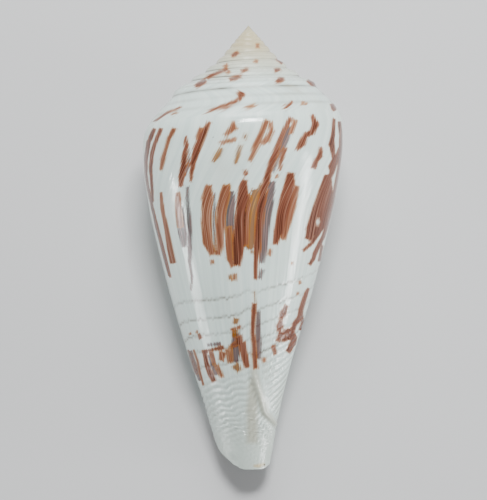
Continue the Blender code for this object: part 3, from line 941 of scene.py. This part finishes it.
def mark_layer(tree, under, field, jitter, edge, strength, colour):
    """Paints a mark over the colour under it, where its field with the jagged edge added is
    above 0. The edge is soft over the given mm."""
    inside = add_node(tree, "Attribute", attribute_name=field).outputs["Fac"]
    jagged = add_node(tree, "Math", {0: inside, 1: jitter}, operation="ADD").outputs[0]
    limits = {"Value": jagged, "From Min": -edge / 2.0, "From Max": edge / 2.0, "To Max": strength}
    share = add_node(tree, "MapRange", limits, interpolation_type="SMOOTHSTEP").outputs["Result"]
    mixed = {"Factor": share, 6: under, 7: colour}
    return add_node(tree, "Mix", mixed, data_type="RGBA").outputs[2]


def streak_colour(tree, streak, dark, plain, light):
    """The colour of a mark along its fine growth streaks, from dark to light."""
    dark_share = add_node(tree, "MapRange", {"Value": streak, "From Min": 0.35, "From Max": 0.52})
    darker = {"Factor": dark_share.outputs["Result"], 6: linear(dark), 7: linear(plain)}
    colour = add_node(tree, "Mix", darker, data_type="RGBA").outputs[2]
    light_share = add_node(tree, "MapRange", {"Value": streak, "From Min": 0.54, "From Max": 0.70})
    lighter = {"Factor": light_share.outputs["Result"], 6: colour, 7: linear(light)}
    return add_node(tree, "Mix", lighter, data_type="RGBA").outputs[2]


def ground_colour(tree, depth, broad_streaks, cloud):
    """The white under the marks: cold, with greyer bands along the growth lines, cream at the
    apex and greyer toward the base, that grey being painted shade. Over it lies painted shade in
    the grooves and, darker and narrower, in the sutures, broken up along their length, and then
    the creamy scar, with painted shade along it and beside its ridge, and the stain."""
    patches = {"Value": cloud, "From Min": 0.40, "From Max": 0.62, "To Min": 0.4, "To Max": 1.0}
    broken = add_node(tree, "MapRange", patches).outputs["Result"]
    # Painted shade in the grooves and the sutures, broken up into patches
    recess_shade = {}
    for field in ("groove", "suture"):
        line = add_node(tree, "Attribute", attribute_name=field).outputs["Fac"]
        recess_shade[field] = add_node(tree, "Math", {0: line, 1: broken}, operation="MULTIPLY").outputs[0]
    colour = linear("c5d7d2")
    for limits, tint in (
        ({"Value": broad_streaks, "From Min": 0.35, "From Max": 0.65}, "d6e5df"),
        ({"Value": depth, "From Min": 6.0, "From Max": 17.0, "To Min": 1.0, "To Max": 0.0}, "bcb291"),
        # Greyer toward the base: painted shade
        ({"Value": depth, "From Min": 88.0, "From Max": 120.0, "To Max": 0.8}, "aeb8b0"),
        # Painted shade in the grooves and troughs, then darker painted shade in the sutures
        ({"Value": recess_shade["groove"]}, "78776d"),
        ({"Value": recess_shade["suture"], "From Min": 0.45, "From Max": 0.85, "To Max": 0.8}, "4c4840"),
    ):
        share = add_node(tree, "MapRange", limits).outputs["Result"]
        mixed = {"Factor": share, 6: colour, 7: linear(tint)}
        colour = add_node(tree, "Mix", mixed, data_type="RGBA").outputs[2]
    spread = {0: cloud, 1: 2.0, 2: -1.0}
    soft_jitter = add_node(tree, "Math", spread, operation="MULTIPLY_ADD").outputs[0]
    # The scar's cream, with painted shade along it and beside its ridge, and dirt spots on the ramp
    colour = mark_layer(tree, colour, "scar_shade_and_dirt", soft_jitter, 2.0, 0.8, linear("a3a290"))
    return mark_layer(tree, colour, "stain", soft_jitter, 0.8, 0.6, linear("b08f3c"))


def marked_colour(tree, ground, fine_streaks, grain):
    """The marks over the ground, from their pale halos and the faint violet shadow up to the
    dark chestnut. Sienna and chestnut lie over a wider rim of tan, and the specks over all."""
    streak_part = {0: fine_streaks, 1: 1.5, 2: -0.75}
    jagged = add_node(tree, "Math", streak_part, operation="MULTIPLY_ADD").outputs[0]
    grain_part = {0: grain, 1: 0.24, 2: -0.12}
    jitter = add_node(tree, "Math", grain_part, operation="MULTIPLY_ADD").outputs[0]
    jitter = add_node(tree, "Math", {0: jitter, 1: jagged}, operation="ADD").outputs[0]
    rim_jitter = add_node(tree, "Math", {0: jitter, 1: 0.27}, operation="ADD").outputs[0]
    violet = streak_colour(tree, fine_streaks, "30161a", "502c2d", "7c5854")
    ochre = streak_colour(tree, fine_streaks, "5c3405", "7d4808", "9d6b1a")
    sienna = streak_colour(tree, fine_streaks, "613627", "7f4e38", "a27964")
    chestnut = streak_colour(tree, fine_streaks, "422318", "6e4030", "8c6452")

    # Each layer's field, what is added to it and how soft its edge is in mm, strength, colour
    layers = (
        ("ochre", 0.3, 1.0, 0.3, linear("c2ab7c")),
        ("sienna", 0.3, 1.0, 0.25, linear("c0a280")),
        ("chestnut", 0.3, 1.0, 0.25, linear("c09c7a")),
        ("mauve", jitter, 0.6, 0.9, violet),
        ("ochre", jitter, 0.45, 0.9, ochre),
        ("sienna", rim_jitter, 0.35, 0.75, linear("a36b28")),
        ("chestnut", rim_jitter, 0.35, 0.8, linear("955519")),
        ("sienna", jitter, 0.4, 0.95, sienna),
        ("chestnut", jitter, 0.35, 1.0, chestnut),
        ("speck", 0.0, 0.2, 0.9, linear("2e211c")),
    )
    colour = ground
    for field, added, edge, strength, paint in layers:
        colour = mark_layer(tree, colour, field, added, edge, strength, paint)
    return colour


def shell_material():
    """Aragonite with the animal's own polish: a dense white with a cold cast that shines like
    glazed china, under brown marks that are laid in fine streaks along the growth lines."""
    material, tree, bsdf = new_material("Polished aragonite cone shell")
    growth_line = add_node(tree, "Attribute", attribute_name="growth_line").outputs["Vector"]
    depth = add_node(tree, "SeparateXYZ", {"Vector": growth_line}).outputs["Y"]
    object_place = add_node(tree, "TexCoord").outputs["Object"]

    # Fine streaks 0.3 mm across and broad ones 1.5 mm across, all much longer than wide, a
    # grain of 0.4 mm and clouds of 14 mm
    noises = {}
    for name, scale, detail in (("fine", (3.6, 0.05, 3.6), 1.0), ("broad", (0.65, 0.03, 0.65), 2.0)):
        drawn = add_node(tree, "Mapping", {"Vector": growth_line, "Scale": scale}).outputs["Vector"]
        setting = {"Vector": drawn, "Scale": 1.0, "Detail": detail, "Roughness": 0.6}
        noises[name] = add_node(tree, "TexNoise", setting).outputs["Fac"]
    for name, scale, detail in (("grain", 2600.0, 2.0), ("cloud", 70.0, 3.0)):
        setting = {"Vector": object_place, "Scale": scale, "Detail": detail}
        noises[name] = add_node(tree, "TexNoise", setting).outputs["Fac"]

    ground = ground_colour(tree, depth, noises["broad"], noises["cloud"])
    colour = marked_colour(tree, ground, noises["fine"], noises["grain"])

    # The pigment takes a little of the polish away
    brightness = add_node(tree, "RGBToBW", {"Color": colour}).outputs["Val"]
    limits = {"Value": brightness, "From Min": 0.1, "From Max": 0.45, "To Min": 0.15, "To Max": 0.5}
    polish = add_node(tree, "MapRange", limits).outputs["Result"]

    # The cavity, a warmer white
    inside = add_node(tree, "Attribute", attribute_name="inside").outputs["Fac"]
    mixed = {"Factor": inside, 6: colour, 7: linear("e6dcd5")}
    colour = add_node(tree, "Mix", mixed, data_type="RGBA").outputs[2]

    limits = {"Value": noises["cloud"], "From Min": 0.3, "From Max": 0.7, "To Min": 0.09, "To Max": 0.16}
    roughness = add_node(tree, "MapRange", limits).outputs["Result"]
    streak_height = {"Height": noises["fine"], "Strength": 0.4, "Distance": 0.08 * MM}
    bump = add_node(tree, "Bump", streak_height).outputs["Normal"]
    bsdf.inputs["IOR"].default_value = 1.5
    tree.links.new(colour, bsdf.inputs["Base Color"])
    tree.links.new(polish, bsdf.inputs["Specular IOR Level"])
    tree.links.new(roughness, bsdf.inputs["Roughness"])
    tree.links.new(bump, bsdf.inputs["Normal"])
    return material


def floor_material():
    """Matt paper board: pale and even, with only a trace of cloudiness."""
    material, tree, bsdf = new_material("Matt paper board")
    object_place = add_node(tree, "TexCoord").outputs["Object"]
    cloud = add_node(tree, "TexNoise", {"Vector": object_place, "Scale": 6.0}).outputs["Fac"]
    mixed = {"Factor": cloud, 6: linear("bebfc0"), 7: linear("c2c3c4")}
    colour = add_node(tree, "Mix", mixed, data_type="RGBA").outputs[2]
    tree.links.new(colour, bsdf.inputs["Base Color"])
    bsdf.inputs["Roughness"].default_value = 0.9
    return material


def add_floor():
    """A wide pale floor under the shell."""
    mesh = bpy.data.meshes.new("floor")
    reach = 1.5
    low = -0.05 * MM
    corners = [(-reach, -reach, low), (reach, -reach, low), (reach, reach, low), (-reach, reach, low)]
    mesh.from_pydata(corners, [], [(0, 1, 2, 3)])
    mesh.materials.append(floor_material())
    floor = bpy.data.objects.new("floor", mesh)
    bpy.context.scene.collection.objects.link(floor)


def add_camera(offset):
    """The photograph's view: square to the shell's axis, from straight above its back."""
    rise = Matrix.Rotation(math.radians(AXIS_RISE), 3, "X")
    target = rise @ Vector((PICTURE_CENTRE_SIDE, -PICTURE_CENTRE_DEPTH, 0.0)) * MM + Vector(offset)
    outward = rise @ Vector((0.0, 0.0, 1.0))
    camera_data = bpy.data.cameras.new("camera")
    camera_data.sensor_width = 36.0
    camera_data.lens = PICTURE_SCALE * CAMERA_DISTANCE * camera_data.sensor_width / max(PICTURE)
    camera_data.clip_start = 0.01
    camera = bpy.data.objects.new("camera", camera_data)
    turn = rise.to_4x4() @ Matrix.Rotation(math.radians(-PICTURE_TURN), 4, "Z")
    camera.matrix_world = Matrix.Translation(target + outward * CAMERA_DISTANCE * MM) @ turn
    bpy.context.scene.collection.objects.link(camera)
    bpy.context.scene.camera = camera


def add_light(name, offset, aside, toward_apex, distance, size, power):
    """A soft rectangular studio light that faces the shell. Its place is given by how far it
    leans from the camera's line of sight, in degrees, to the right and toward the apex, and by
    its distance in metres. Its size is across and along the shell, in metres."""
    rise = Matrix.Rotation(math.radians(AXIS_RISE), 3, "X")
    lean = Matrix.Rotation(math.radians(aside), 3, "Y") @ Matrix.Rotation(math.radians(-toward_apex), 3, "X")
    outward = rise @ lean @ Vector((0.0, 0.0, 1.0))
    middle = rise @ Vector((0.0, -55.0, 8.0)) * MM + Vector(offset)
    data = bpy.data.lights.new(name, "AREA")
    data.shape = "RECTANGLE"
    data.size, data.size_y = size
    data.energy = power
    light = bpy.data.objects.new(name, data)
    light.location = middle + outward * distance
    along = rise @ Vector((0.0, 1.0, 0.0))
    across = along.cross(outward).normalized()
    axes = Matrix((across, outward.cross(across), outward)).transposed()
    light.rotation_euler = axes.to_euler()
    bpy.context.scene.collection.objects.link(light)


def add_room_light():
    """An even pale light from all round."""
    world = bpy.data.worlds.new("studio")
    world.use_nodes = True
    background = world.node_tree.nodes["Background"]
    background.inputs["Color"].default_value = linear("f2f3f5")
    background.inputs["Strength"].default_value = 0.36
    bpy.context.scene.world = world


surface = build_shell()
shell_mesh, own_places, coordinates, offset = finished_mesh(surface)
add_fields(shell_mesh, own_places, coordinates)
shell_mesh.materials.append(shell_material())
shell = bpy.data.objects.new("cone_shell", shell_mesh)
bpy.context.scene.collection.objects.link(shell)
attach(shell, "root")
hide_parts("shell")

add_floor()
add_camera(offset)
add_light("right strip", offset, aside=80.0, toward_apex=-20.5, distance=0.5, size=(0.065, 0.30), power=2.5)
add_light("left strip", offset, aside=-88.0, toward_apex=-25.0, distance=0.5, size=(0.055, 0.28), power=2.5)
add_light("apex spot", offset, aside=6.0, toward_apex=32.5, distance=0.6, size=(0.19, 0.11), power=4.6)
add_light("apex box", offset, aside=0.0, toward_apex=60.0, distance=0.7, size=(0.5, 0.3), power=4.2)
add_room_light()
